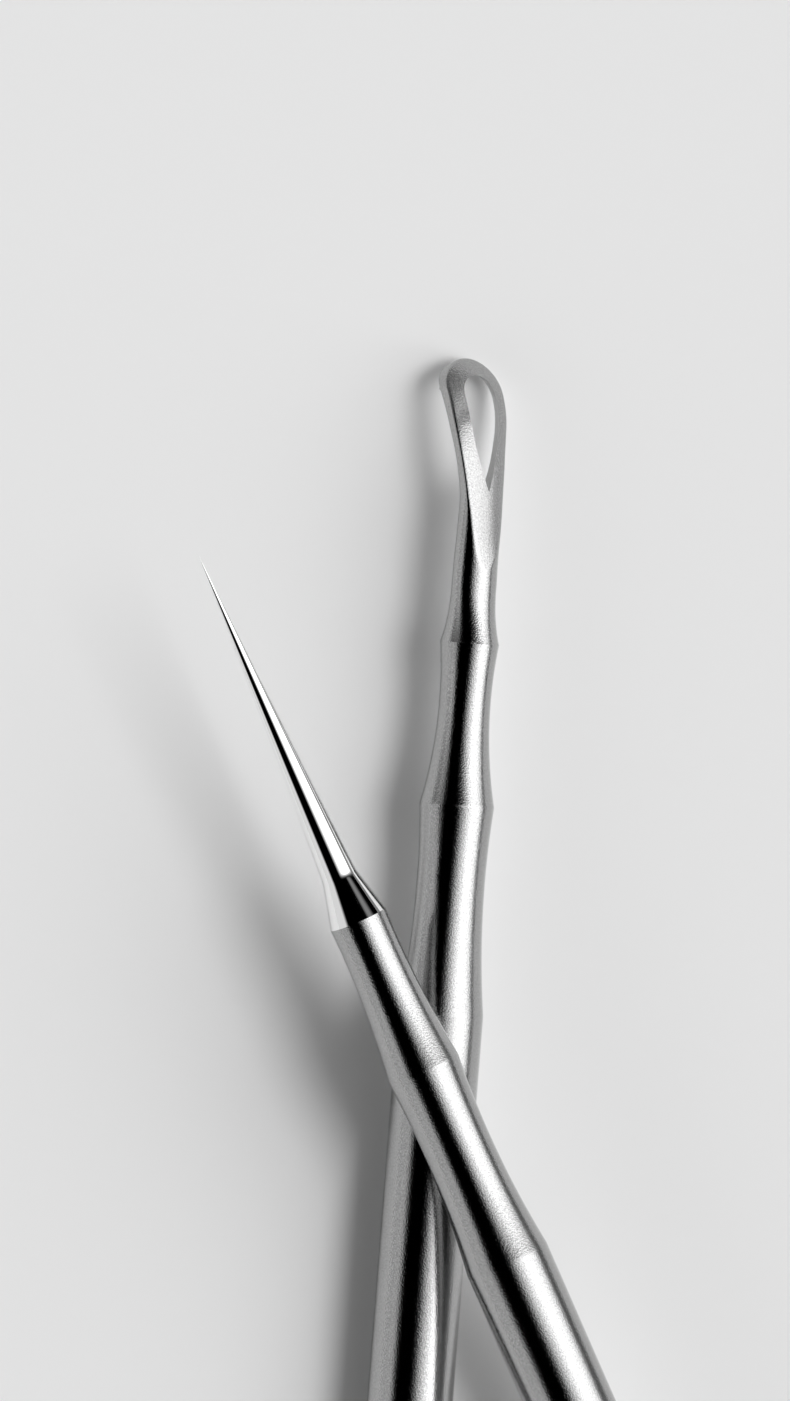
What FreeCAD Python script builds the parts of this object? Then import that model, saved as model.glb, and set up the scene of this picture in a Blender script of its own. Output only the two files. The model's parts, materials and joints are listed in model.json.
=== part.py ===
"""Blackhead extractor set: a loop tool and a needle tool with bamboo-node handles, laid across each other.

Lengths are millimetres and angles degrees. Each tool is drawn along +Y of its own frame, with the seat
where its head meets its handle at y = 0, the head towards +Y and the butt towards -Y.
"""
import FreeCAD
import Part
import Sketcher
import math
import os

SIZES = {
    # Bamboo-node handle, alike on both tools: radii, and reaches measured back from the seat.
    "crest_radius": 2.07,
    "node_radius": 2.62,
    "grip_radius": 3.0,
    "node_reach": 11.35,
    "grip_reach": 25.9,
    "handle_length": 86.0,
    "loop_waist_sag": 0.5,
    "needle_waist_sag": 0.24,
    "second_waist_sag": 0.4,
    "node_round": 0.4,
    "grip_round": 1.5,
    "butt_round": 0.6,
    # Press fit of each head in its handle.
    "shank_radius": 1.2,
    "shank_length": 8.0,
    "socket_clearance": 0.01,
    "socket_end_gap": 0.5,
    # Needle.
    "needle_length": 27.7,
    "flare_length": 3.3,
    "needle_root_radius": 1.22,
    "flare_blend": 4.0,
    # Loop head: flared neck, round rod and a blade that widens towards its round tip.
    "neck_length": 4.0,
    "rod_radius": 1.52,
    "blade_start": 8.6,
    "blade_tip": 19.87,
    "blade_half_width": 2.25,
    "back_bend_start": 12.3,
    "back_bend_radius": 9.0,
    "face_start": 5.17,
    "face_start_angle": 7.86,
    "face_bend_radius": 150.0,
    "face_crown_radius": 4.6,
    "face_cut_angle": 15.0,
    "hook_start": 15.0,
    "hook_radius": 7.5,
    "hook_cut_angle": 78.0,
    "hole_apex": 10.6,
    "hole_centre": 17.38,
    "hole_radius": 1.24,
    "hole_tilt": 15.0,
    "hole_draft": 24.2,
    "hole_relief": 26.6,
    "hole_cut_rise": 1.2,
    "hole_cut_depth": 3.4,
    "face_edge_round": 0.2,
    "cut_overrun": 0.6,
    # How the two tools lie.
    "head_roll": 32.0,
    "crossing_angle": 28.1,
    "loop_crossing_reach": 31.4,
    "needle_crossing_reach": 13.3,
    "rest_gap": 0.2,
}

# The blade's first section is the rod's circle, with flats this share of the radius to each side.
FLAT_SHARE = 0.25

# Later sections as shares: place along the blade, growth from rod to full half width, and corner
# radius over rod radius. The growth past 1 at the end is trimmed with the tip.
BLADE_SHARES = (
    (0.23, 0.14, 0.66),
    (0.38, 0.47, 0.38),
    (0.52, 0.82, 0.24),
    (0.66, 0.97, 0.17),
    (0.8, 1.06, 0.16),
    (1.0, 1.25, 0.16),
)

# Rounds of lowering the needle tool on to the loop tool.
SETTLING_ROUNDS = 4

FORMULAS = {
    "socket_radius": "shank_radius + socket_clearance",
    "socket_depth": "shank_length + socket_end_gap",
    "loop_waist_radius": "((node_radius - crest_radius)^2 + node_reach^2) / (8 * loop_waist_sag)"
                         " + loop_waist_sag / 2",
    "needle_waist_radius": "((node_radius - crest_radius)^2 + node_reach^2) / (8 * needle_waist_sag)"
                           " + needle_waist_sag / 2",
    "second_waist_radius": "((grip_radius - node_radius)^2 + (grip_reach - node_reach)^2)"
                           " / (8 * second_waist_sag) + second_waist_sag / 2",
    "neck_arc_radius": "(neck_length^2 + (crest_radius - rod_radius)^2) / (2 * (crest_radius - rod_radius))",
    "rod_flat": f"{FLAT_SHARE} * rod_radius",
    "rod_flat_height": "sqrt(rod_radius^2 - rod_flat^2)",
    "blade_end": "blade_tip + cut_overrun",
    "trim_start": "(blade_start + blade_tip) / 2",
    "tip_centre": "blade_tip - blade_half_width",
    "tip_cut_half_width": "blade_half_width + cut_overrun",
    "tip_cut_end": "blade_end + cut_overrun",
    "face_axis_reach": "face_start - face_bend_radius * sin(face_start_angle)",
    "face_axis_drop": "face_bend_radius * cos(face_start_angle) - rod_radius",
    "face_lead_angle": "asin((neck_length - face_axis_reach) / face_bend_radius)",
    "crown_depth": "face_crown_radius - sqrt(face_crown_radius^2 - tip_cut_half_width^2)",
    "face_edge_radius": "face_bend_radius - crown_depth",
    "face_cut_radius": "face_bend_radius + 2 * rod_radius + blade_half_width",
    "hook_lead_angle": "asin((hook_start - face_axis_reach) / face_bend_radius)",
    "hook_axis_reach": "face_axis_reach + (face_bend_radius - hook_radius) * sin(hook_lead_angle)",
    "hook_axis_drop": "face_axis_drop - (face_bend_radius - hook_radius) * cos(hook_lead_angle)",
    "hook_edge_radius": "hook_radius - crown_depth",
    "hook_cut_radius": "hook_radius + 2 * rod_radius + blade_half_width",
    "hole_top": "sqrt(face_bend_radius^2 - (hole_apex - face_axis_reach)^2) - face_axis_drop",
    "hole_run": "(hole_centre - hole_apex) / cos(hole_tilt)",
    "upper_reach": "hole_apex + hole_cut_rise * sin(hole_tilt)",
    "upper_height": "hole_top + hole_cut_rise * cos(hole_tilt)",
    "upper_apex": "hole_cut_rise * tan(hole_relief)",
    "upper_radius": "hole_radius - hole_cut_rise * tan(hole_draft)",
    "upper_side_radius": "((hole_run - upper_apex)^2 + upper_radius^2) / (2 * upper_radius)",
    "upper_crown": "hole_run + upper_radius",
    "lower_reach": "hole_apex - hole_cut_depth * sin(hole_tilt)",
    "lower_height": "hole_top - hole_cut_depth * cos(hole_tilt)",
    "lower_apex": "-hole_cut_depth * tan(hole_relief)",
    "lower_radius": "hole_radius + hole_cut_depth * tan(hole_draft)",
    "lower_side_radius": "((hole_run - lower_apex)^2 + lower_radius^2) / (2 * lower_radius)",
    "lower_crown": "hole_run + lower_radius",
}

for index, (along, growth, corner) in enumerate(BLADE_SHARES, start=1):
    station = f"station_{index}_"
    FORMULAS[station + "reach"] = f"blade_start + {along} * (blade_end - blade_start)"
    FORMULAS[station + "half_width"] = f"rod_radius + {growth} * (blade_half_width - rod_radius)"
    FORMULAS[station + "back"] = (f"rod_radius + max(0; {station}reach - back_bend_start)^2"
                                  " / (2 * back_bend_radius)")
    FORMULAS[station + "corner"] = f"{corner} * rod_radius"
    FORMULAS[station + "side"] = f"{station}half_width - {station}corner"
    FORMULAS[station + "shoulder"] = f"rod_radius - {station}corner"
    FORMULAS[station + "heel"] = f"{station}back - {station}corner"

doc = FreeCAD.newDocument("extractor_set")
sheet = doc.addObject("Spreadsheet::Sheet", "Sizes")


def fill_sheet():
    """Write the driving sizes, then the sizes that follow from them, one named cell each."""
    row = 1
    for name, value in SIZES.items():
        sheet.set(f"A{row}", name)
        sheet.set(f"B{row}", str(value))
        sheet.setAlias(f"B{row}", name)
        row += 1
    for name, formula in FORMULAS.items():
        sheet.set(f"A{row}", name)
        sheet.set(f"B{row}", "=" + formula)
        sheet.setAlias(f"B{row}", name)
        row += 1
    doc.recompute()


def size(term):
    """Value of a named cell, with an optional minus sign in front of its name."""
    if term == "0":
        return 0.0
    sign = -1.0 if term.startswith("-") else 1.0
    return sign * float(sheet.get(term.lstrip("-")))


def cell(term):
    """Expression for a named cell, with an optional minus sign in front of its name."""
    return f"-Sizes.{term[1:]}" if term.startswith("-") else f"Sizes.{term}"


def plane(body, role):
    """One of a body's own origin planes."""
    return next(feature for feature in body.Origin.OriginFeatures if feature.Role == role)


def new_sketch(body, name, role):
    sketch = body.newObject("Sketcher::SketchObject", name)
    sketch.AttachmentSupport = [(plane(body, role), "")]
    sketch.MapMode = "FlatFace"
    return sketch


def arc_between(start, end, radius, bulge):
    """The shorter arc from start to end, bulging to the left (1) or the right (-1) of that direction."""
    chord = end - start
    half = chord.Length / 2
    left = FreeCAD.Vector(-chord.y, chord.x, 0).normalize()
    centre_depth = math.sqrt(max(radius * radius - half * half, 0.0))
    middle = (start + end) / 2 + left * bulge * (radius - centre_depth)
    return Part.Arc(start, middle, end)


def draw_outline(sketch, corners):
    """Draw a closed outline whose corners and arc radii are bound to named cells.

    Each corner is (x, y) for a straight run to the next corner, or (x, y, radius, bulge) for an arc.
    """
    places = [FreeCAD.Vector(size(corner[0]), size(corner[1]), 0) for corner in corners]
    for number, corner in enumerate(corners):
        start = places[number]
        end = places[(number + 1) % len(corners)]
        if len(corner) == 2:
            sketch.addGeometry(Part.LineSegment(start, end))
        else:
            sketch.addGeometry(arc_between(start, end, size(corner[2]), corner[3]))
    ends = [edge_ends(sketch, number, places[number]) for number in range(len(corners))]
    for number, corner in enumerate(corners):
        following = (number + 1) % len(corners)
        start_end = ends[number][0]
        sketch.addConstraint(Sketcher.Constraint("Coincident", number, ends[number][1],
                                                 following, ends[following][0]))
        bind_place(sketch, "DistanceX", number, start_end, corner[0], -2)
        bind_place(sketch, "DistanceY", number, start_end, corner[1], -1)
        if len(corner) == 4:
            constraint = sketch.addConstraint(Sketcher.Constraint("Radius", number, size(corner[2])))
            sketch.setExpression(f"Constraints[{constraint}]", cell(corner[2]))


def edge_ends(sketch, number, start):
    """Which of an edge's two ends lies at its corner, and which at the next: arcs run anticlockwise."""
    first = sketch.getPoint(number, 1)
    last = sketch.getPoint(number, 2)
    return (1, 2) if (first - start).Length <= (last - start).Length else (2, 1)


def bind_place(sketch, kind, number, end, term, axis):
    """Hold one coordinate of an edge's end on its axis, or at a named distance from it."""
    if term == "0":
        sketch.addConstraint(Sketcher.Constraint("PointOnObject", number, end, axis))
        return
    constraint = sketch.addConstraint(Sketcher.Constraint(kind, number, end, size(term)))
    sketch.setExpression(f"Constraints[{constraint}]", cell(term))


def turn(body, name, corners):
    """Turn an outline about the tool's axis."""
    sketch = new_sketch(body, name + "_profile", "XY_Plane")
    draw_outline(sketch, corners)
    solid = body.newObject("PartDesign::Revolution", name)
    solid.Profile = sketch
    solid.ReferenceAxis = (sketch, ["V_Axis"])
    solid.Angle = 360
    doc.recompute()
    return solid


def round_ring(body, name, reach, radius, rounding):
    """Round the ring-shaped edge of a body's last feature at a reach and radius."""
    base = body.Tip
    ring = [f"Edge{index + 1}" for index, edge in enumerate(base.Shape.Edges)
            if is_ring(edge, size(reach), size(radius))]
    fillet = body.newObject("PartDesign::Fillet", name)
    fillet.Base = (base, ring)
    fillet.setExpression("Radius", cell(rounding))
    doc.recompute()


def is_ring(edge, reach, radius):
    if not isinstance(edge.Curve, Part.Circle):
        return False
    offset = math.hypot(edge.Curve.Center.y - reach, edge.Curve.Radius - radius)
    return offset < radius / 1000


def build_handle(label, waist_radius):
    """Bamboo-node handle: two waisted internodes between crests, a straight grip and a socket bore."""
    body = doc.addObject("PartDesign::Body", label)
    turn(body, label + "_turning", [
        ("socket_radius", "0"),
        ("crest_radius", "0", waist_radius, -1),
        ("node_radius", "-node_reach", "second_waist_radius", -1),
        ("grip_radius", "-grip_reach"),
        ("grip_radius", "-handle_length"),
        ("0", "-handle_length"),
        ("0", "-socket_depth"),
        ("socket_radius", "-socket_depth"),
    ])
    round_ring(body, label + "_node_round", "-node_reach", "node_radius", "node_round")
    round_ring(body, label + "_grip_round", "-grip_reach", "grip_radius", "grip_round")
    round_ring(body, label + "_butt_round", "-handle_length", "grip_radius", "butt_round")
    return body


def build_needle(label):
    """Needle: a shank, a flare that meets the handle's end crest and a long slender cone."""
    body = doc.addObject("PartDesign::Body", label)
    turn(body, label + "_turning", [
        ("0", "-shank_length"),
        ("shank_radius", "-shank_length"),
        ("shank_radius", "0"),
        ("crest_radius", "0"),
        ("needle_root_radius", "flare_length"),
        ("0", "needle_length"),
    ])
    round_ring(body, label + "_flare_blend", "flare_length", "needle_root_radius", "flare_blend")
    return body


def build_loop_head(label):
    """Loop head: a turned neck and rod, flattened into a bent, crowned blade with a teardrop hole."""
    body = doc.addObject("PartDesign::Body", label)
    turn(body, label + "_turning", [
        ("0", "-shank_length"),
        ("shank_radius", "-shank_length"),
        ("shank_radius", "0"),
        ("crest_radius", "0", "neck_arc_radius", 1),
        ("rod_radius", "neck_length"),
        ("rod_radius", "blade_start"),
        ("0", "blade_start"),
    ])
    loft_blade(body, label)
    cut_tip(body, label)
    press_face(body, label, "face")
    press_face(body, label, "hook")
    cut_hole(body, label)
    round_face_edge(body, label + "_face_edge")
    return body


def loft_blade(body, label):
    """Loft the rod's round section into the blade's flat one, bending back as it goes."""
    flat = "rod_flat"
    height = "rod_flat_height"
    round_section = [(flat, height), ("-" + flat, height), ("-" + height, flat), ("-" + height, "-" + flat),
                     ("-" + flat, "-" + height), (flat, "-" + height), (height, "-" + flat), (height, flat)]
    sections = [new_section(body, label + "_section_0", "blade_start")]
    draw_outline(sections[0], [corner + ("rod_radius", -1) for corner in round_section])
    for index in range(1, len(BLADE_SHARES) + 1):
        station = f"station_{index}_"
        sections.append(new_section(body, f"{label}_section_{index}", station + "reach"))
        draw_outline(sections[index], flat_section(station))
    blade = body.newObject("PartDesign::AdditiveLoft", label + "_blade")
    blade.Profile = sections[0]
    blade.Sections = sections[1:]
    doc.recompute()


def new_section(body, name, reach):
    """Sketch square to the tool's axis at a reach from the seat."""
    sketch = new_sketch(body, name, "XZ_Plane")
    sketch.setExpression("AttachmentOffset.Base.z", cell("-" + reach))
    return sketch


def flat_section(station):
    """Rounded rectangle of the blade at one station."""
    width = station + "half_width"
    side = station + "side"
    shoulder = station + "shoulder"
    heel = "-" + station + "heel"
    back = "-" + station + "back"
    corner = station + "corner"
    return [
        (side, "rod_radius"),
        ("-" + side, "rod_radius", corner, -1),
        ("-" + width, shoulder),
        ("-" + width, heel, corner, -1),
        ("-" + side, back),
        (side, back, corner, -1),
        (width, heel),
        (width, shoulder, corner, -1),
    ]


def cut_tip(body, label):
    """Trim the blade's end to its full width and a half round."""
    sketch = new_sketch(body, label + "_tip_outline", "XY_Plane")
    draw_outline(sketch, [
        ("blade_half_width", "trim_start"),
        ("blade_half_width", "tip_centre", "blade_half_width", -1),
        ("0", "blade_tip", "blade_half_width", -1),
        ("-blade_half_width", "tip_centre"),
        ("-blade_half_width", "trim_start"),
        ("-tip_cut_half_width", "trim_start"),
        ("-tip_cut_half_width", "tip_cut_end"),
        ("tip_cut_half_width", "tip_cut_end"),
        ("tip_cut_half_width", "trim_start"),
    ])
    cut_through(body, sketch, label + "_tip")


def press_face(body, label, name):
    """Press the face or its hooked end: a crown arc swung about an axis behind the head."""
    sketch = new_sketch(body, f"{label}_{name}_crown", "XZ_Plane")
    lean(sketch, name + "_lead_angle")
    sketch.setExpression("AttachmentOffset.Base.y", cell(f"-{name}_axis_drop"))
    sketch.setExpression("AttachmentOffset.Base.z", cell(f"-{name}_axis_reach"))
    draw_outline(sketch, [
        ("-tip_cut_half_width", name + "_edge_radius", "face_crown_radius", 1),
        ("tip_cut_half_width", name + "_edge_radius"),
        ("tip_cut_half_width", name + "_cut_radius"),
        ("-tip_cut_half_width", name + "_cut_radius"),
    ])
    before = body.Shape.Volume
    groove = body.newObject("PartDesign::Groove", f"{label}_{name}")
    groove.Profile = sketch
    groove.ReferenceAxis = (sketch, ["H_Axis"])
    groove.setExpression("Angle", cell(name + "_cut_angle"))
    groove.Reversed = True
    doc.recompute()
    check_cut(groove, before)


def lean(sketch, angle):
    """Lean a sketch towards the tip by a named angle."""
    turned = FreeCAD.Rotation(FreeCAD.Vector(-1, 0, 0), size(angle))
    sketch.AttachmentOffset = FreeCAD.Placement(FreeCAD.Vector(), turned)
    sketch.setExpression("AttachmentOffset.Rotation.Angle", cell(angle))


def cut_hole(body, label):
    """Pierce the teardrop hole square to the face, with walls that open out towards the back."""
    sections = []
    for level in ("upper", "lower"):
        sketch = new_sketch(body, f"{label}_{level}_teardrop", "XY_Plane")
        lean(sketch, "hole_tilt")
        sketch.setExpression("AttachmentOffset.Base.y", cell(level + "_reach"))
        sketch.setExpression("AttachmentOffset.Base.z", cell(level + "_height"))
        radius = level + "_radius"
        side_radius = level + "_side_radius"
        draw_outline(sketch, [
            ("0", level + "_apex", side_radius, -1),
            (radius, "hole_run", radius, -1),
            ("0", level + "_crown", radius, -1),
            ("-" + radius, "hole_run", side_radius, -1),
        ])
        sections.append(sketch)
    before = body.Shape.Volume
    hole = body.newObject("PartDesign::SubtractiveLoft", label + "_hole")
    hole.Profile = sections[0]
    hole.Sections = sections[1:]
    hole.Ruled = True
    doc.recompute()
    check_cut(hole, before)


def round_face_edge(body, name):
    """Round the face's outer edge, from the tip down both sides."""
    base = body.Tip
    tip = size("blade_tip")
    upright = Part.makeLine(FreeCAD.Vector(0, tip, -tip), FreeCAD.Vector(0, tip, tip))
    heights = {}
    for index, edge in enumerate(base.Shape.Edges):
        distance, pairs, _ = edge.distToShape(upright)
        if distance < size("face_edge_round"):
            heights[pairs[0][0].z] = f"Edge{index + 1}"
    fillet = body.newObject("PartDesign::Fillet", name)
    fillet.Base = (base, [heights[max(heights)]])
    fillet.setExpression("Radius", cell("face_edge_round"))
    doc.recompute()


def cut_through(body, sketch, name):
    before = body.Shape.Volume
    pocket = body.newObject("PartDesign::Pocket", name)
    pocket.Profile = sketch
    pocket.Type = "ThroughAll"
    pocket.SideType = "Symmetric"
    doc.recompute()
    check_cut(pocket, before)


def check_cut(feature, before):
    if feature.Shape.Volume >= before:
        raise RuntimeError(feature.Label + " cuts nothing")


def lay_loop_tool(handle, head):
    """Lay the loop tool on the surface: it rests on its butt and on the low side of its loop."""
    roll = FreeCAD.Rotation(FreeCAD.Vector(0, 1, 0), size("head_roll"))
    head.Placement = FreeCAD.Placement(FreeCAD.Vector(), roll)
    drop = -head.Shape.optimalBoundingBox().ZMin - size("grip_radius")
    pitch = math.degrees(math.asin(drop / (size("handle_length") + size("tip_centre"))))
    lift = size("grip_radius") + size("handle_length") * math.sin(math.radians(pitch))
    tool = FreeCAD.Placement(FreeCAD.Vector(0, 0, lift),
                             FreeCAD.Rotation(FreeCAD.Vector(1, 0, 0), pitch))
    handle.Placement = tool
    head.Placement = tool * FreeCAD.Placement(FreeCAD.Vector(), roll)


def lay_needle_tool(handle, needle, loop_handle):
    """Lay the needle tool across the loop tool, with its butt on the surface and its point raised."""
    crossing_height = 2 * size("grip_radius") + size("node_radius")
    for _ in range(SETTLING_ROUNDS):
        tool = needle_tool_place(crossing_height)
        handle.Placement = tool
        gap = handle.Shape.distToShape(loop_handle.Shape)[0]
        crossing_height += size("rest_gap") - gap
    needle.Placement = tool


def needle_tool_place(crossing_height):
    """Place of the needle tool whose axis crosses the loop tool at a height above the surface."""
    reach = size("handle_length") - size("needle_crossing_reach")
    tilt = math.asin((crossing_height - size("grip_radius")) / reach)
    turned = FreeCAD.Rotation(FreeCAD.Vector(0, 0, 1), size("crossing_angle"))
    tilted = FreeCAD.Rotation(FreeCAD.Vector(1, 0, 0), math.degrees(tilt))
    rotation = turned * tilted
    crossing = FreeCAD.Vector(0, -size("loop_crossing_reach"), crossing_height)
    seat = crossing + rotation * FreeCAD.Vector(0, size("needle_crossing_reach"), 0)
    return FreeCAD.Placement(seat, rotation)


def centre_on_surface(bodies):
    """Move the whole set so that the middle of its box's bottom is the origin."""
    box = FreeCAD.BoundBox()
    for body in bodies:
        box.add(body.Shape.optimalBoundingBox())
    origin = FreeCAD.Vector(box.Center.x, box.Center.y, box.ZMin)
    for body in bodies:
        body.Placement = FreeCAD.Placement(-origin, FreeCAD.Rotation()) * body.Placement
    doc.recompute()


def check_and_write(bodies):
    for item in doc.Objects:
        if "Invalid" in item.State or "Error" in item.State:
            raise RuntimeError(item.Label + " failed")
    os.makedirs("parts", exist_ok=True)
    for body in bodies:
        if body.Shape.isNull() or not body.Shape.isValid():
            raise RuntimeError(body.Label + " has no valid shape")
    for body in bodies:
        body.Shape.exportStep(f"parts/{body.Label}.step")
        print(body.Label, len(body.Shape.Solids), round(body.Shape.Volume, 3), body.Placement)


fill_sheet()
loop_handle = build_handle("loop_tool_handle", "loop_waist_radius")
loop_head = build_loop_head("loop_head")
needle_handle = build_handle("needle_tool_handle", "needle_waist_radius")
needle = build_needle("needle")
lay_loop_tool(loop_handle, loop_head)
lay_needle_tool(needle_handle, needle, loop_handle)
bodies = [loop_handle, loop_head, needle_handle, needle]
centre_on_surface(bodies)
check_and_write(bodies)
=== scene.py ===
"""Looks of the blackhead extractor set: a loop tool and a needle tool lying across each other.

Pieces are drawn in millimetres in their own tool's frame: y runs along the tool from its seat to its
head, x to the right and z up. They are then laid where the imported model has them, in metres.
"""
import bmesh
import bpy
import json
import math
import numpy as np
from mathutils import Matrix, Vector


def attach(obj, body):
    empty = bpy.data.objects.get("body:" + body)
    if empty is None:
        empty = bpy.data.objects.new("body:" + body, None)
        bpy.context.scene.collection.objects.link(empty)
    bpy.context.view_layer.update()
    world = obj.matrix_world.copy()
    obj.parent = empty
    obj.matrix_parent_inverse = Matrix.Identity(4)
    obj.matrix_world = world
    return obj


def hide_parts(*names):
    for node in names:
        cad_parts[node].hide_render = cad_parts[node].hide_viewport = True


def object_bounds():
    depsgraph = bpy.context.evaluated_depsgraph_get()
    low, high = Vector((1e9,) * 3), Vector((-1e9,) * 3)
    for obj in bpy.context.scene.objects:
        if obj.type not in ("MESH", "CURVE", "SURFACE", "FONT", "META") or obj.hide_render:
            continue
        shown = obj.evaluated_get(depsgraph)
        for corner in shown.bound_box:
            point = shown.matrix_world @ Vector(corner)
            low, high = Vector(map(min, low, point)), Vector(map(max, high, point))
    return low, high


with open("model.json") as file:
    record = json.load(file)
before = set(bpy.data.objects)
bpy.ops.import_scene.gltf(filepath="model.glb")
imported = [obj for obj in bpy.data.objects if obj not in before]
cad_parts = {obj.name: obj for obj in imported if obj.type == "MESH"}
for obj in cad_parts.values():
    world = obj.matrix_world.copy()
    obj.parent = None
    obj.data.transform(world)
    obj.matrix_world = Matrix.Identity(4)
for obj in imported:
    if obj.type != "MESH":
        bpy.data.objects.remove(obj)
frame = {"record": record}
cad_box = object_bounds()

MM = 0.001

# Handles, turned like a bamboo cane.
HANDLE_LENGTH = 86.0
CREST_RADIUS = 2.07
NODE_RADIUS = 2.62
GRIP_RADIUS = 3.0
NODE_REACH = 11.35
GRIP_REACH = 25.9
LOOP_WAIST_SAG = 0.5
NEEDLE_WAIST_SAG = 0.24
SECOND_WAIST_SAG = 0.4
CREST_BLEND = 0.03
BUTT_ROUND = 0.6
SHARP_ANGLE = math.radians(32.0)

# A handle's rings: shares of them up to the dense part's end and up to the butt, and how far the dense
# part reaches, as a multiple of the grip's reach.
HANDLE_RINGS = 330
HANDLE_SIDES = 128
DENSE_SHARE = 0.86
BUTT_SHARE = 0.94
DENSE_REACH = 1.08

# Press fit of each head in its handle.
SHANK_RADIUS = 1.2
SHANK_LENGTH = 8.0
SOCKET_RADIUS = 1.21
SOCKET_DEPTH = 8.5

# Needle.
NEEDLE_LENGTH = 27.7
FLARE_LENGTH = 3.3
NEEDLE_ROOT_RADIUS = 1.22
FLARE_BLEND = 0.05
NEEDLE_SIDES = 96
NEEDLE_RINGS = ((0.0, 2.3, 8), (2.4, 4.6, 45), (5.0, NEEDLE_LENGTH - 0.02, 30))

# Loop head. Pairs tell where along the head a change starts and ends.
NECK_LENGTH = 4.0
ROD_RADIUS = 1.52
ROD_FLATTENING = 0.09
FLATTENED = (0.5, 4.5)
UNDERSIDE_FULL = (7.0, 11.0)
LEG_THINNING = 0.22
THINS = (8.5, 11.5)
THICKENS = (15.5, 18.5)
BLADE_TIP = 19.87
BLADE_HALF_WIDTH = 2.3
WIDENING = (9.4, 16.4)
SQUARING = (8.6, 15.2)
SQUARE_CORNER = 0.16
FACE_BEND_RADIUS = 150.0
HOOK_START = 15.0
HOOK_RADIUS = 8.0
BACK_BEND_START = 12.3
BACK_BEND_RADIUS = 9.0
FACE_START = 5.17
FACE_START_ANGLE = math.radians(7.86)
FACE_CROWN_RADIUS = 7.5
FACE_RUN_IN = 1.2
HOLE_APEX = 10.6
HOLE_CENTRE = 17.38
HOLE_RADIUS = 1.3
HOLE_TILT = math.radians(15.0)
HOLE_TAPER = 0.56
HOLE_RELIEF = 0.5
TIP_UNDERCUT = 0.4
EDGE_SOFTNESS = 0.13
HEAD_ROLL = math.radians(32.0)

# How the finished loop departs from an even one: moved aside, rolled further, and falling to its sides.
LOOP_ASIDE = 0.12
HOLE_ASIDE = 0.14
LOOP_TWIST = math.radians(7.0)
TWISTED = (3.5, 8.0)
UNTWIST_SHARE = 0.75
UNTWISTED = (13.0, 18.5)
RIGHT_FALL = 0.03
RIGHT_LEVEL = (9.5, 12.5)
LEFT_FALL = 0.037
LEFT_FALLS = (13.0, 17.0)

# How finely the loop head is meshed.
SECTION_POINTS = 84
WALL_POINTS = 14
FIRST_SECTION = 0.06
ROD_SECTIONS = 178
LEG_SECTIONS = 110
BOW_SECTIONS = 100
PLAN_STEPS = 240
PATH_STEPS = 600
DEPTH_STEPS = 30
MERGE_DISTANCE = 1e-5
DISSOLVE_DISTANCE = 1e-6

# The picture: what it spans in millimetres, where its middle lies from the loop tool's seat, and its
# turn.
PICTURE_HEIGHT = 97.77
PICTURE_MIDDLE = (-4.869, -4.407)
PICTURE_TURN = math.radians(4.49)
CAMERA_RISE = 900.0
SENSOR_HEIGHT = 36.0
FAR_CLIP = 100.0

# Satin steel. The noise scales are per metre, and the pressed face is told from the rod by its slope.
SATIN_SHADE = 0.42
SATIN_ROUGHNESS = 0.075
GRAIN_SCALE = 9000.0
GRAIN_SHADE = 0.35
GRAIN_ROUGHNESS = 0.05
GRAIN_RELIEF = 1.4e-5
PATCH_SCALE = 260.0
PATCH_ROUGHNESS = 0.03
PRESSED_RUN = (-6.0e-4, -2.0e-4)
PRESSED_SLOPE = (0.05, 0.13)
PRESSED_SHADE = 0.02
PRESSED_ROUGHNESS = 0.17

# Polished steel.
POLISHED_SHADE = 0.96
POLISHED_ROUGHNESS = 0.04
HAZE_SCALE = 900.0
HAZE_ROUGHNESS = 0.03

# The floor, in metres: a pale card that darkens with painted shade from this many millimetres to the
# right of the set's middle, beyond the picture's edge, so that the steel mirrors a dark band there.
FLOOR_REACH = 12.0
FLOOR_GAP = 2.0e-5
CARD_SHADE = 0.925
CARD_TO_PAINTED_SHADE = 0.725
CARD_EDGE = (18.0, 28.0)
CARD_ROUGHNESS = 0.9
CARD_SHINE = 0.2

# The light: glow of the soft box by its angle from overhead, in degrees to the right, and the key lamp.
BOX_ACROSS = ((-90.0, 0.0), (2.0, 0.0), (8.0, 0.3), (15.0, 0.8), (23.0, 1.3), (31.0, 1.8), (39.0, 2.35),
              (46.0, 2.8), (58.0, 2.7), (68.0, 2.4), (77.0, 2.0), (84.0, 1.5), (88.0, 1.1), (90.0, 0.8))
BOX_GLOW = 2.8
STREAK_GLOW = 0.2
HOOK_GLOW = 1.5
SURROUND_GLOW = 0.68
KEY_STRENGTH = 1.12
KEY_SPREAD = math.radians(22.0)
KEY_SLANT = math.radians(32.0)
KEY_TURN = math.radians(4.49)
BOX_TURN = math.radians(28.0)

# Where the lights lie, as parts of a direction to the right, ahead or up. Four numbers are a rise and
# a fall.
BOX_FRONT = (-0.08, 0.26)
BOX_BACK = (-0.78, -0.66)
STREAK_AHEAD = (0.22, 0.28, 0.4, 0.6)
STREAK_RIGHT = (0.55, 0.68, 0.78, 0.9)
HOOK_AHEAD = (0.31, 0.39, 0.4, 0.64)
HOOK_RIGHT = (0.4, 0.6)
GAP_RIGHT = (0.0, 0.6)
GAP_AHEAD = (0.4, 0.7)
SURROUND_TOP = (0.52, 0.70)
SURROUND_AHEAD = (0.45, 0.8)
SURROUND_DIMMING = 0.7


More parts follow.
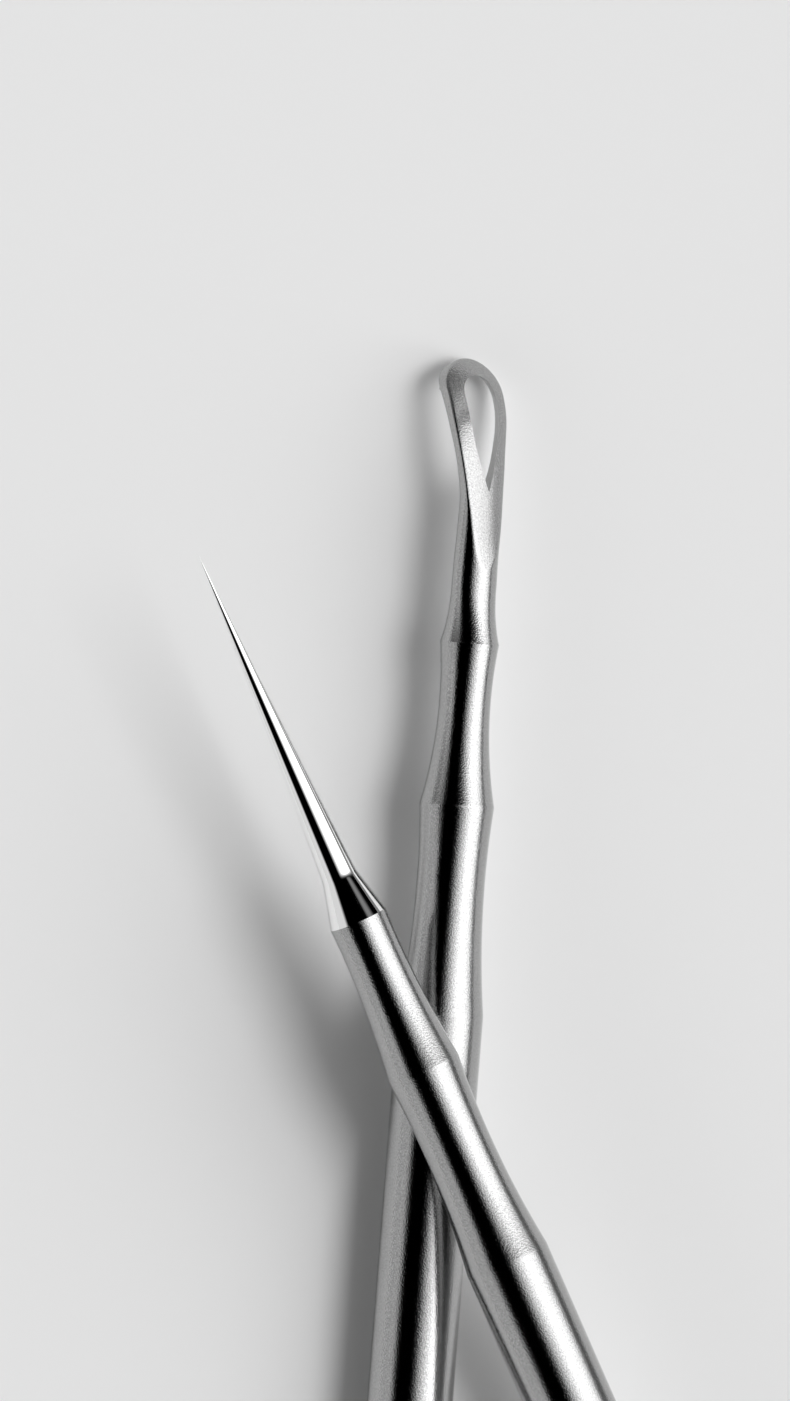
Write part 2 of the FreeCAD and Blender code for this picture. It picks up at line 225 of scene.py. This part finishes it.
class Wire:
    """A node socket that can be written in sums: each sum adds its Math nodes to the tree."""

    def __init__(self, tree, socket=None):
        self.tree = tree
        self.socket = socket

    def add(self, kind, settings=None, sockets=None, output=0):
        """Add a node, with its settings first and then its sockets, and give one of its outputs."""
        node = self.tree.nodes.new(kind)
        for name, value in (settings or {}).items():
            if name == "stops":
                ramp = node.color_ramp
                while len(ramp.elements) < len(value):
                    ramp.elements.new(1.0)
                for stop, (place, shade) in zip(ramp.elements, value):
                    stop.position = place
                    stop.color = (shade, shade, shade, 1.0)
            else:
                setattr(node, name, value)
        for name, value in (sockets or {}).items():
            if isinstance(value, Wire):
                self.tree.links.new(value.socket, node.inputs[name])
            else:
                node.inputs[name].default_value = value
        return Wire(self.tree, node.outputs[output]) if len(node.outputs) else None

    def calc(self, operation, *terms):
        return self.add("ShaderNodeMath", {"operation": operation}, dict(enumerate(terms)))

    def __add__(self, other):
        return self.calc("ADD", self, other)

    def __radd__(self, other):
        return self.calc("ADD", other, self)

    def __sub__(self, other):
        return self.calc("SUBTRACT", self, other)

    def __rsub__(self, other):
        return self.calc("SUBTRACT", other, self)

    def __mul__(self, other):
        return self.calc("MULTIPLY", self, other)

    def __rmul__(self, other):
        return self.calc("MULTIPLY", other, self)

    def __truediv__(self, other):
        return self.calc("DIVIDE", self, other)

    def span(self, low, high, ease="LINEAR"):
        """0 below low, 1 above high, and in between a straight or a smooth run."""
        return self.add("ShaderNodeMapRange", {"interpolation_type": ease},
                        {"Value": self, "From Min": low, "From Max": high})


def satin_steel(face_start):
    """Blasted stainless steel with the fine sparkle of its grain, duller on the head's pressed face."""
    material = bpy.data.materials.new("satin_steel")
    material.use_nodes = True
    material.node_tree.nodes.clear()
    sheet = Wire(material.node_tree)
    place = sheet.add("ShaderNodeTexCoord", output="Object")
    grain = sheet.add("ShaderNodeTexNoise", sockets={
        "Vector": place, "Scale": GRAIN_SCALE, "Detail": 2.0})
    patches = sheet.add("ShaderNodeTexNoise", sockets={
        "Vector": place, "Scale": PATCH_SCALE, "Detail": 3.0})
    along = sheet.add("ShaderNodeSeparateXYZ", sockets={"Vector": place}, output=1)
    slope = sheet.add("ShaderNodeSeparateXYZ", sockets={
        "Vector": sheet.add("ShaderNodeNewGeometry", output="Normal")}, output=1)
    pressed = (along.span(face_start + PRESSED_RUN[0], face_start + PRESSED_RUN[1])
               * slope.span(*PRESSED_SLOPE))
    roughness = (SATIN_ROUGHNESS + (grain - 0.5) * GRAIN_ROUGHNESS + (patches - 0.5) * PATCH_ROUGHNESS
                 + pressed * PRESSED_ROUGHNESS)
    shade = SATIN_SHADE + (grain - 0.5) * GRAIN_SHADE - pressed * PRESSED_SHADE
    colour = sheet.add("ShaderNodeCombineColor", sockets={"Red": shade, "Green": shade, "Blue": shade})
    relief = sheet.add("ShaderNodeBump", sockets={
        "Height": grain, "Strength": 1.0, "Distance": GRAIN_RELIEF})
    metal = sheet.add("ShaderNodeBsdfPrincipled", sockets={
        "Base Color": colour, "Metallic": 1.0, "Roughness": roughness, "Normal": relief})
    sheet.add("ShaderNodeOutputMaterial", sockets={"Surface": metal})
    return material


def polished_steel():
    """Mirror-polished steel of the needle, with faint polishing haze."""
    material = bpy.data.materials.new("polished_steel")
    material.use_nodes = True
    material.node_tree.nodes.clear()
    sheet = Wire(material.node_tree)
    place = sheet.add("ShaderNodeTexCoord", output="Object")
    haze = sheet.add("ShaderNodeTexNoise", sockets={
        "Vector": place, "Scale": HAZE_SCALE, "Detail": 3.0})
    roughness = POLISHED_ROUGHNESS + (haze - 0.5) * HAZE_ROUGHNESS
    colour = (POLISHED_SHADE, POLISHED_SHADE, POLISHED_SHADE, 1.0)
    metal = sheet.add("ShaderNodeBsdfPrincipled", sockets={
        "Base Color": colour, "Metallic": 1.0, "Roughness": roughness})
    sheet.add("ShaderNodeOutputMaterial", sockets={"Surface": metal})
    return material


def pale_card():
    """Matt pale card that the set lies on, darkened to its right by painted shade that the steel
    mirrors.
    """
    material = bpy.data.materials.new("pale_card")
    material.use_nodes = True
    material.node_tree.nodes.clear()
    sheet = Wire(material.node_tree)
    place = sheet.add("ShaderNodeTexCoord", output="Object")
    across = sheet.add("ShaderNodeSeparateXYZ", sockets={"Vector": place}, output=0)
    # Painted shade: the card darkens to the right, beyond the picture, so that the steel mirrors a dark
    # band.
    painted_shade = across.span(CARD_EDGE[0] * MM, CARD_EDGE[1] * MM, "SMOOTHSTEP")
    shade = CARD_SHADE - CARD_TO_PAINTED_SHADE * painted_shade
    colour = sheet.add("ShaderNodeCombineColor", sockets={"Red": shade, "Green": shade, "Blue": shade})
    card = sheet.add("ShaderNodeBsdfPrincipled", sockets={
        "Base Color": colour, "Roughness": CARD_ROUGHNESS, "Specular IOR Level": CARD_SHINE})
    sheet.add("ShaderNodeOutputMaterial", sockets={"Surface": card})
    return material


def bamboo_handle_tree():
    """Geometry nodes of a handle: two waisted internodes and a straight grip, turned about one line."""
    tree = bpy.data.node_groups.new("bamboo_handle", "GeometryNodeTree")
    floats = ("Length", "Crest Radius", "Node Radius", "Grip Radius", "Node Reach", "Grip Reach",
              "First Sag", "Second Sag", "Crest Blend", "Butt Round", "Socket Radius", "Socket Depth")
    for name in floats:
        tree.interface.new_socket(name, in_out="INPUT", socket_type="NodeSocketFloat")
    for name in ("Rings", "Sides"):
        tree.interface.new_socket(name, in_out="INPUT", socket_type="NodeSocketInt")
    tree.interface.new_socket("Material", in_out="INPUT", socket_type="NodeSocketMaterial")
    tree.interface.new_socket("Handle", in_out="OUTPUT", socket_type="NodeSocketGeometry")
    sheet = Wire(tree)
    group = tree.nodes.new("NodeGroupInput")
    given = {socket.name: Wire(tree, socket) for socket in group.outputs if socket.name}

    # Rings lie close together along the internodes and the rounded butt, and far apart on the grip.
    count = sheet.add("GeometryNodeMeshLine", sockets={"Count": given["Rings"]})
    line = sheet.add("GeometryNodeMeshToCurve", sockets={"Mesh": count})
    share = sheet.add("GeometryNodeInputIndex") / (given["Rings"] - 1.0)
    straight = given["Length"] - given["Butt Round"]
    dense = given["Grip Reach"] * DENSE_REACH
    reach = (share.span(0.0, DENSE_SHARE) * dense
             + share.span(DENSE_SHARE, BUTT_SHARE) * (straight - dense)
             + share.span(BUTT_SHARE, 1.0) * given["Butt Round"])
    along = sheet.add("ShaderNodeCombineXYZ", sockets={"Y": 0.0 - reach})
    line = sheet.add("GeometryNodeSetPosition", sockets={"Geometry": line, "Position": along})

    # Each internode is a shallow hollow between two node rings, and the lower of the two is the surface.
    first = reach / given["Node Reach"]
    second = (reach - given["Node Reach"]) / (given["Grip Reach"] - given["Node Reach"])
    first_radius = (given["Crest Radius"] + (given["Node Radius"] - given["Crest Radius"]) * first
                    - 4.0 * given["First Sag"] * first * (1.0 - first))
    second_radius = (given["Node Radius"] + (given["Grip Radius"] - given["Node Radius"]) * second
                     - 4.0 * given["Second Sag"] * second * (1.0 - second))
    radius = sheet.calc("SMOOTH_MIN", second_radius, given["Grip Radius"], given["Crest Blend"])
    radius = sheet.calc("SMOOTH_MIN", first_radius, radius, given["Crest Blend"])
    inset = share.span(BUTT_SHARE, 1.0) * given["Butt Round"]
    arc = sheet.calc("SQRT", given["Butt Round"] * given["Butt Round"] - inset * inset)
    radius = radius - (given["Butt Round"] - arc)

    circle = sheet.add("GeometryNodeCurvePrimitiveCircle",
                       sockets={"Resolution": given["Sides"], "Radius": 1.0})
    turned = sheet.add("GeometryNodeCurveToMesh", sockets={
        "Curve": line, "Profile Curve": circle, "Scale": radius, "Fill Caps": True})
    bore = sheet.add("GeometryNodeMeshCylinder", sockets={
        "Vertices": given["Sides"], "Radius": given["Socket Radius"],
        "Depth": given["Socket Depth"] * 2.0})
    bore = sheet.add("GeometryNodeTransform", sockets={
        "Geometry": bore, "Rotation": (math.radians(90.0), 0.0, 0.0)})
    handle = sheet.add("GeometryNodeMeshBoolean", {"operation": "DIFFERENCE", "solver": "EXACT"},
                       {"Mesh 1": turned, "Mesh 2": bore})
    handle = sheet.add("GeometryNodeSetShadeSmooth", sockets={"Geometry": handle})
    handle = sheet.add("GeometryNodeRealizeInstances", sockets={"Geometry": handle})
    handle = sheet.add("GeometryNodeSetMaterial", sockets={
        "Geometry": handle, "Material": given["Material"]})
    sheet.add("NodeGroupOutput", sockets={"Handle": handle})
    return tree


def bamboo_handle(name, tree, first_sag, finish):
    """One handle, as a plain mesh in its tool's frame."""
    blank = bpy.data.objects.new(name + "_blank", bpy.data.meshes.new(name + "_blank"))
    bpy.context.scene.collection.objects.link(blank)
    turning = blank.modifiers.new("turning", "NODES")
    turning.node_group = tree
    sizes = {
        "Length": HANDLE_LENGTH, "Crest Radius": CREST_RADIUS, "Node Radius": NODE_RADIUS,
        "Grip Radius": GRIP_RADIUS, "Node Reach": NODE_REACH, "Grip Reach": GRIP_REACH,
        "First Sag": first_sag, "Second Sag": SECOND_WAIST_SAG, "Crest Blend": CREST_BLEND,
        "Butt Round": BUTT_ROUND, "Socket Radius": SOCKET_RADIUS, "Socket Depth": SOCKET_DEPTH,
        "Rings": HANDLE_RINGS, "Sides": HANDLE_SIDES, "Material": finish,
    }
    for item in tree.interface.items_tree:
        if item.in_out == "INPUT":
            turning[item.identifier] = sizes[item.name]
    shaped = blank.evaluated_get(bpy.context.evaluated_depsgraph_get())
    mesh = bpy.data.meshes.new_from_object(shaped)
    blank.modifiers.remove(turning)
    bpy.data.objects.remove(blank)
    return mesh


def mesh_from(points, faces, finish):
    """Closed smooth mesh: doubles merged, faces outwards."""
    mesh = bpy.data.meshes.new("piece")
    shape = bmesh.new()
    corners = [shape.verts.new(point) for point in points]
    for face in faces:
        shape.faces.new([corners[index] for index in face])
    bmesh.ops.remove_doubles(shape, verts=shape.verts, dist=MERGE_DISTANCE)
    bmesh.ops.dissolve_degenerate(shape, edges=shape.edges, dist=DISSOLVE_DISTANCE)
    bmesh.ops.recalc_face_normals(shape, faces=shape.faces)
    for face in shape.faces:
        face.smooth = True
    shape.to_mesh(mesh)
    shape.free()
    mesh.materials.append(finish)
    return mesh


def between_rings(rings):
    """Faces between neighbouring closed rings of point numbers."""
    faces = []
    for ring, following in zip(rings, rings[1:]):
        for index in range(len(ring)):
            onward = (index + 1) % len(ring)
            faces.append((ring[index], ring[onward], following[onward], following[index]))
    return faces


def needle_mesh(finish):
    """Needle: shank, flare and long slender cone, turned about y."""
    sides = NEEDLE_SIDES
    places = np.concatenate([np.linspace(*run) for run in NEEDLE_RINGS])
    flare = CREST_RADIUS + (NEEDLE_ROOT_RADIUS - CREST_RADIUS) * places / FLARE_LENGTH
    cone = NEEDLE_ROOT_RADIUS * (NEEDLE_LENGTH - places) / (NEEDLE_LENGTH - FLARE_LENGTH)
    radii = (flare + cone + np.sqrt((flare - cone) ** 2 + FLARE_BLEND ** 2)) / 2.0
    radii[0] = CREST_RADIUS
    profile = [(SHANK_RADIUS, -SHANK_LENGTH), (SHANK_RADIUS, 0.0)] + list(zip(radii, places))
    points = []
    rings = []
    for radius, place in profile:
        rings.append(range(len(points), len(points) + sides))
        for turn in np.linspace(0.0, 2.0 * math.pi, sides, endpoint=False):
            points.append((radius * math.cos(turn), place, radius * math.sin(turn)))
    faces = between_rings(rings) + [tuple(rings[0])]
    points.append((0.0, NEEDLE_LENGTH, 0.0))
    tip = len(points) - 1
    faces += [(rings[-1][index], rings[-1][(index + 1) % sides], tip) for index in range(sides)]
    return mesh_from(points, faces, finish)


def ease(value, start, end):
    """0 before start, 1 past end, and a smooth run in between."""
    share = np.clip((value - start) / (end - start), 0.0, 1.0)
    return share * share * (3.0 - 2.0 * share)


def rod_radius(reach):
    """Radius of the flared neck and then of the rod."""
    rise = CREST_RADIUS - ROD_RADIUS
    arc = (NECK_LENGTH ** 2 + rise ** 2) / (2.0 * rise)
    left = np.clip(NECK_LENGTH - reach, 0.0, NECK_LENGTH)
    return ROD_RADIUS + arc - np.sqrt(arc ** 2 - left ** 2)


def flattening(reach):
    """Share by which the round neck turns into the rod's oval."""
    return ROD_FLATTENING * ease(reach, *FLATTENED)


def rod_half_width(reach):
    """Half the width of the oval rod."""
    return rod_radius(reach) * (1.0 + flattening(reach))


def outer_half_width(reach):
    """Half the width of the head as it widens from the rod into the loop."""
    spread = BLADE_HALF_WIDTH - ROD_RADIUS * (1.0 + ROD_FLATTENING)
    return rod_half_width(reach) + spread * ease(reach, *WIDENING)


def hole_half_width(reach):
    """Half the width of the hole between its apex and its round end."""
    side = ((HOLE_CENTRE - HOLE_APEX) ** 2 + HOLE_RADIUS ** 2) / (2.0 * HOLE_RADIUS)
    return HOLE_RADIUS - side + math.sqrt(side ** 2 - (HOLE_CENTRE - reach) ** 2)


def corner_radius(reach):
    """Radius of a section's corners: a round rod at first, a squared blade in the end."""
    return rod_half_width(reach) * (1.0 - (1.0 - SQUARE_CORNER) * ease(reach, *SQUARING))


def face_height(across, reach):
    """Height of the pressed face: a crown arc swung about an axis below, tightly in the hook."""
    axis_reach = FACE_START - FACE_BEND_RADIUS * math.sin(FACE_START_ANGLE)
    rod_top = ROD_RADIUS * (1.0 - ROD_FLATTENING)
    axis_height = rod_top - FACE_BEND_RADIUS * math.cos(FACE_START_ANGLE)
    lean = math.asin((HOOK_START - axis_reach) / FACE_BEND_RADIUS)
    shift = FACE_BEND_RADIUS - HOOK_RADIUS
    crown = FACE_CROWN_RADIUS - np.sqrt(FACE_CROWN_RADIUS ** 2 - across ** 2)
    swing = np.where(reach > HOOK_START, HOOK_RADIUS, FACE_BEND_RADIUS) - crown
    middle = np.where(reach > HOOK_START, axis_reach + shift * math.sin(lean), axis_reach)
    level = np.where(reach > HOOK_START, axis_height + shift * math.cos(lean), axis_height)
    height = level + np.sqrt(swing ** 2 - (reach - middle) ** 2)
    return np.where(reach > FACE_START - FACE_RUN_IN, height, 2.0 * CREST_RADIUS)


def even_points(path, count):
    """The same path with evenly spaced points."""
    runs = np.linalg.norm(np.diff(path, axis=0), axis=1)
    length = np.concatenate([[0.0], np.cumsum(runs)])
    steps = np.linspace(0.0, length[-1], count)
    return np.stack([np.interp(steps, length, path[:, axis]) for axis in range(3)], axis=1)


def soften(path, reach):
    """Round the corners of an evenly spaced path over about this reach."""
    step = np.linalg.norm(path[1] - path[0])
    spread = max(int(3.0 * reach / step), 1)
    weights = np.exp(-0.5 * (np.arange(-spread, spread + 1) * step / reach) ** 2)
    weights /= weights.sum()
    before = 2.0 * path[0] - path[spread:0:-1]
    after = 2.0 * path[-1] - path[-2:-spread - 2:-1]
    longer = np.concatenate([before, path, after])
    return np.stack([np.convolve(longer[:, axis], weights, "valid") for axis in range(3)], axis=1)


def corner_fall(across, reach):
    """How far the rounded corners fall below the flat of a section, at points of the plan."""
    tip_centre = BLADE_TIP - BLADE_HALF_WIDTH
    inset = np.where(reach < tip_centre, outer_half_width(reach) - across,
                     BLADE_HALF_WIDTH - np.hypot(across, reach - tip_centre))
    corner = corner_radius(reach)
    left = np.clip(corner - inset, 0.0, corner)
    return corner - np.sqrt(corner ** 2 - left ** 2)


def top_height(across, reach):
    """Height of the upper side: the rod's top or the pressed face, whichever is lower."""
    oval = (1.0 - flattening(reach)) / (1.0 + flattening(reach) * (1.0 - ease(reach, *SQUARING)))
    round_top = rod_radius(reach) * (1.0 - flattening(reach)) - corner_fall(across, reach) * oval
    return np.minimum(round_top, face_height(across, reach))


def back_height(across, reach):
    """Height of the underside: the rod's, thinned under the legs and bent down towards the tip."""
    bend = np.maximum(reach - BACK_BEND_START, 0.0) ** 2 / (2.0 * BACK_BEND_RADIUS)
    depth = 1.0 - flattening(reach) * (1.0 - ease(reach, *UNDERSIDE_FULL))
    depth = depth - LEG_THINNING * ease(reach, *THINS) * (1.0 - ease(reach, *THICKENS))
    oval = depth / (1.0 + flattening(reach) * (1.0 - ease(reach, *SQUARING)))
    return corner_fall(across, reach) * oval - rod_radius(reach) * depth - bend


def half_section(outer, inner, outer_low, inner_low, count):
    """Points of half a section, from its inner top over the face and the wall to its inner underside.

    The four plan places (across, reach) are the wall's and the hole's or middle line's, above and
    below.
    """
    outer, inner = np.array(outer), np.array(inner)
    outer_low, inner_low = np.array(outer_low), np.array(inner_low)
    share = 1.0 - np.cos(np.linspace(0.0, math.pi / 2.0, PLAN_STEPS))[:, None]
    plan = (outer + (inner - outer) * share)[::-1]
    upper = np.column_stack([plan, top_height(plan[:, 0], plan[:, 1])])
    plan = outer_low + (inner_low - outer_low) * share
    lower = np.column_stack([plan, back_height(plan[:, 0], plan[:, 1])])
    path = soften(even_points(np.concatenate([upper, lower]), PATH_STEPS), EDGE_SOFTNESS)
    return [tuple(point) for point in even_points(path, count)]


def under_hole(across, reach, aside, ahead):
    """Where the hole's wall comes out on the back, below a point of its rim.

    The wall follows the face's slope, and leans by (aside, ahead) for each step of depth.
    """
    top = float(face_height(across, reach))
    along = ahead * math.cos(HOLE_TILT) - math.sin(HOLE_TILT)
    fall = ahead * math.sin(HOLE_TILT) + math.cos(HOLE_TILT)
    drop = 0.0
    for _ in range(DEPTH_STEPS):
        low = float(back_height(across + drop * aside, reach + drop * along))
        drop += 0.5 * ((top - low) / fall - drop)
    return across + drop * aside, reach + drop * along


def twisted(points):
    """The same points with the loop, and its hole more so, moved to the right and rolled further."""
    across, reach, height = np.array(points).T
    room = np.clip(1.0 - (across / outer_half_width(reach)) ** 2, 0.0, 1.0)
    across = across + (LOOP_ASIDE + HOLE_ASIDE * room) * ease(reach, FACE_START, HOLE_APEX)
    right = RIGHT_FALL * ease(reach, *TWISTED) * (1.0 - ease(reach, *RIGHT_LEVEL))
    left = LEFT_FALL * ease(reach, *LEFT_FALLS)
    height = height - np.where(across > 0.0, right, left) * across ** 2
    roll = LOOP_TWIST * ease(reach, *TWISTED) * (1.0 - UNTWIST_SHARE * ease(reach, *UNTWISTED))
    return np.column_stack([across * np.cos(roll) + height * np.sin(roll), reach,
                            height * np.cos(roll) - across * np.sin(roll)])


def mirrored(points):
    """The same points on the other side of the middle line."""
    return [(-across, reach, height) for across, reach, height in points]


def loop_head_mesh(finish):
    """Loop head: shank, neck and rod as whole sections, then the loop as one band round the hole."""
    points = []

    def ring(places):
        points.extend(places)
        return range(len(points) - len(places), len(points))

    def circle(radius, reach):
        turns = np.linspace(0.0, math.pi, SECTION_POINTS)
        half = [(radius * math.sin(turn), reach, radius * math.cos(turn)) for turn in turns]
        return ring(half + mirrored(half)[-2:0:-1])

    # The sections' undersides lag behind more and more, up to where the hole's apex comes out below.
    rod = [circle(SHANK_RADIUS, -SHANK_LENGTH), circle(SHANK_RADIUS, 0.0), circle(CREST_RADIUS, 0.0)]
    lag = HOLE_APEX - under_hole(0.0, HOLE_APEX, 0.0, -HOLE_RELIEF)[1]
    for reach in np.linspace(FIRST_SECTION, HOLE_APEX, ROD_SECTIONS):
        low = reach - lag * float(ease(reach, NECK_LENGTH, HOLE_APEX))
        outer = (outer_half_width(reach), reach)
        half = half_section(outer, (0.0, reach), outer, (0.0, low), SECTION_POINTS)
        rod.append(ring(half + mirrored(half)[-2:0:-1]))

    def band(outer, inner, outer_low, inner_low):
        half = half_section(outer, inner, outer_low, inner_low, SECTION_POINTS)
        share = np.linspace(0.0, 1.0, WALL_POINTS + 2)[1:-1, None]
        inside = np.array(half[-1]) + (np.array(half[0]) - np.array(half[-1])) * share
        return half + [tuple(place) for place in inside]

    tip_centre = BLADE_TIP - BLADE_HALF_WIDTH
    leg = []
    for share in np.linspace(0.0, 1.0, LEG_SECTIONS):
        outer_reach = HOLE_APEX + (tip_centre - HOLE_APEX) * share
        inner_reach = HOLE_APEX + (HOLE_CENTRE - HOLE_APEX) * share
        inner = (hole_half_width(inner_reach), inner_reach)
        outer = (outer_half_width(outer_reach), outer_reach)
        inner_low = under_hole(*inner, HOLE_TAPER * inner[0] / HOLE_RADIUS, HOLE_RELIEF * (share - 1.0))
        leg.append(band(outer, inner, outer, inner_low))
    bow = []
    for turn in np.linspace(0.0, math.pi, BOW_SECTIONS)[1:-1]:
        aside, ahead = math.cos(turn), math.sin(turn)
        outer = (BLADE_HALF_WIDTH * aside, tip_centre + BLADE_HALF_WIDTH * ahead)
        inner = (HOLE_RADIUS * aside, HOLE_CENTRE + HOLE_RADIUS * ahead)
        outer_low = (outer[0], outer[1] - TIP_UNDERCUT * ahead)
        inner_low = under_hole(*inner, HOLE_TAPER * aside, HOLE_TAPER * ahead)
        bow.append(band(outer, inner, outer_low, inner_low))
    loop = [ring(places) for places in leg + bow + [mirrored(places) for places in reversed(leg)]]
    faces = between_rings(rod) + between_rings(loop) + [tuple(rod[0])]
    return mesh_from(twisted(points), faces, finish)


def tool_place(butt):
    """Where a tool's frame lies, from the mount on its butt: origin at the seat, y towards the head."""
    along = -Vector(butt["axis"])
    side = along.cross(Vector((0.0, 0.0, 1.0))).normalized()
    above = side.cross(along)
    seat = Vector(butt["pos_m"]) + along * HANDLE_LENGTH * MM
    turn = Matrix((side, along, above)).transposed().to_4x4()
    return Matrix.Translation(seat) @ turn @ Matrix.Scale(MM, 4)


def lay(mesh, name, place, body, node):
    """Lay a finished piece in its tool's place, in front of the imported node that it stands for."""
    mesh.name = name
    mesh.transform(place)
    mesh.set_sharp_from_angle(angle=SHARP_ANGLE)
    piece = bpy.data.objects.new(name, mesh)
    bpy.context.scene.collection.objects.link(piece)
    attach(piece, body)
    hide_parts(node)
    return piece


def lay_floor(finish):
    """A wide floor just under the set."""
    level = cad_box[0].z - FLOOR_GAP
    mesh = bpy.data.meshes.new("floor")
    corners = [(-FLOOR_REACH, -FLOOR_REACH, level), (FLOOR_REACH, -FLOOR_REACH, level),
               (FLOOR_REACH, FLOOR_REACH, level), (-FLOOR_REACH, FLOOR_REACH, level)]
    mesh.from_pydata(corners, [], [(0, 1, 2, 3)])
    mesh.materials.append(finish)
    floor = bpy.data.objects.new("floor", mesh)
    bpy.context.scene.collection.objects.link(floor)


def light_studio():
    """The lights that the steel mirrors, and a key lamp that it does not, for the shadows.

    A soft box fades in from overhead to the right. Ahead of it are a faint streak and the light that
    falls on the hook, and round about is a low grey surround with a gap.
    """
    world = bpy.data.worlds.new("studio")
    world.use_nodes = True
    world.node_tree.nodes.clear()
    sheet = Wire(world.node_tree)
    towards = sheet.add("ShaderNodeTexCoord", output="Generated")
    x, y, up = (sheet.add("ShaderNodeSeparateXYZ", sockets={"Vector": towards}, output=axis)
                for axis in range(3))
    right = x * math.cos(BOX_TURN) + y * math.sin(BOX_TURN)
    ahead = y * math.cos(BOX_TURN) - x * math.sin(BOX_TURN)
    swing = sheet.calc("ARCTAN2", right, sheet.calc("MAXIMUM", up, 0.0)) / math.pi + 0.5
    across = sheet.add("ShaderNodeValToRGB", {"stops": [
        ((angle + 90.0) / 180.0, level / BOX_GLOW) for angle, level in BOX_ACROSS]}, {"Fac": swing})
    across = sheet.add("ShaderNodeRGBToBW", sockets={"Color": across})
    box = (across * BOX_GLOW * (1.0 - ahead.span(*BOX_FRONT, "SMOOTHSTEP"))
           * ahead.span(*BOX_BACK, "SMOOTHSTEP"))
    streak = (STREAK_GLOW * ahead.span(*STREAK_AHEAD[:2], "SMOOTHSTEP")
              * (1.0 - ahead.span(*STREAK_AHEAD[2:]))
              * right.span(*STREAK_RIGHT[:2]) * (1.0 - right.span(*STREAK_RIGHT[2:])))
    hook = (HOOK_GLOW * ahead.span(*HOOK_AHEAD[:2], "SMOOTHSTEP")
            * (1.0 - ahead.span(*HOOK_AHEAD[2:])) * right.span(*HOOK_RIGHT))
    gap = right.span(*GAP_RIGHT) * (1.0 - ahead.span(*GAP_AHEAD))
    surround = (1.0 - up.span(*SURROUND_TOP, "SMOOTHSTEP")) * (1.0 - gap) * SURROUND_GLOW
    surround = surround * (1.0 - SURROUND_DIMMING * ahead.span(*SURROUND_AHEAD))
    glow = sheet.calc("MAXIMUM", sheet.calc("MAXIMUM", box, streak),
                      sheet.calc("MAXIMUM", surround, hook))
    shade = sheet.add("ShaderNodeCombineColor", sockets={"Red": glow, "Green": glow, "Blue": glow})
    light = sheet.add("ShaderNodeBackground", sockets={"Color": shade, "Strength": 1.0})
    sheet.add("ShaderNodeOutputWorld", sockets={"Surface": light})
    bpy.context.scene.world = world
    key = bpy.data.objects.new("key", bpy.data.lights.new("key", "SUN"))
    key.data.energy = KEY_STRENGTH
    key.data.angle = KEY_SPREAD
    key.visible_glossy = False
    key.rotation_euler = (0.0, KEY_SLANT, KEY_TURN)
    bpy.context.scene.collection.objects.link(key)


def set_camera(loop_place):
    """A long lens straight above, turned and placed as the picture is."""
    seat = loop_place.translation
    camera = bpy.data.objects.new("camera", bpy.data.cameras.new("camera"))
    camera.data.sensor_fit = "VERTICAL"
    camera.data.sensor_height = SENSOR_HEIGHT
    camera.data.lens = SENSOR_HEIGHT * CAMERA_RISE / PICTURE_HEIGHT
    camera.data.clip_end = FAR_CLIP
    camera.location = (seat.x + PICTURE_MIDDLE[0] * MM, seat.y + PICTURE_MIDDLE[1] * MM,
                       seat.z + CAMERA_RISE * MM)
    camera.rotation_euler = (0.0, 0.0, PICTURE_TURN)
    bpy.context.scene.collection.objects.link(camera)
    bpy.context.scene.camera = camera


mounts = {mount["name"]: mount for mount in frame["record"]["mounts"]}
loop_place = tool_place(mounts["loop_tool_butt"])
needle_place = tool_place(mounts["needle_tool_butt"])
satin = satin_steel(loop_place.translation.y + FACE_START * MM)
polished = polished_steel()
head_place = loop_place @ Matrix.Rotation(HEAD_ROLL, 4, "Y")

handles = bamboo_handle_tree()
lay(bamboo_handle("loop_tool_handle", handles, LOOP_WAIST_SAG, satin), "turned_loop_tool_handle",
    loop_place, "loop_tool", "loop_tool_handle")
lay(loop_head_mesh(satin), "pressed_loop_head", head_place, "loop_tool", "loop_head")
lay(bamboo_handle("needle_tool_handle", handles, NEEDLE_WAIST_SAG, satin), "turned_needle_tool_handle",
    needle_place, "needle_tool", "needle_tool_handle")
lay(needle_mesh(polished), "polished_needle", needle_place, "needle_tool", "needle")

lay_floor(pale_card())
light_studio()
set_camera(loop_place)
bpy.context.scene.view_settings.view_transform = "Standard"
